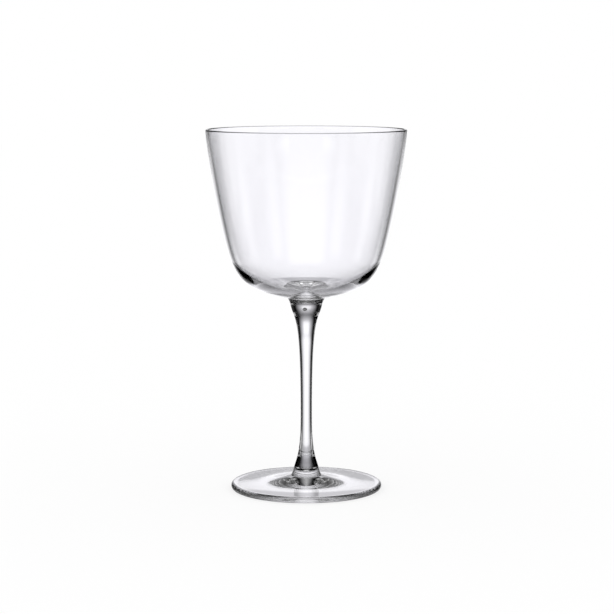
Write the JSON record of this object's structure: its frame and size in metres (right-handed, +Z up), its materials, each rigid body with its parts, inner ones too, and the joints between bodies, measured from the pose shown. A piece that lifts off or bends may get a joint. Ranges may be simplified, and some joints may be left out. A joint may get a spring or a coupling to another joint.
{
  "type": "nick and nora glass",
  "caption": "Clear hand-blown stemmed cocktail glass: tapered bowl with a rounded base, drawn waisted stem and a round foot with a thick edge.",
  "frame": {"origin": "centre of the foot's resting ring, on the surface that the glass stands on", "axes": "+Z up along the axis of the glass, from the foot to the mouth; X and Y are any two level directions, as the glass is round"},
  "size_m": [0.083, 0.083, 0.15],
  "materials": {
    "blown_glass": "clear fire-polished glass, faintly uneven from blowing",
    "drawn_glass": "clear fire-polished glass, drawn by hand",
    "worked_glass": "clear glass with faint rings from working the foot"
  },
  "bodies": {
    "root": {"bowl": "blown_glass", "stem": "drawn_glass", "foot": "worked_glass"}
  },
  "joints": []
}
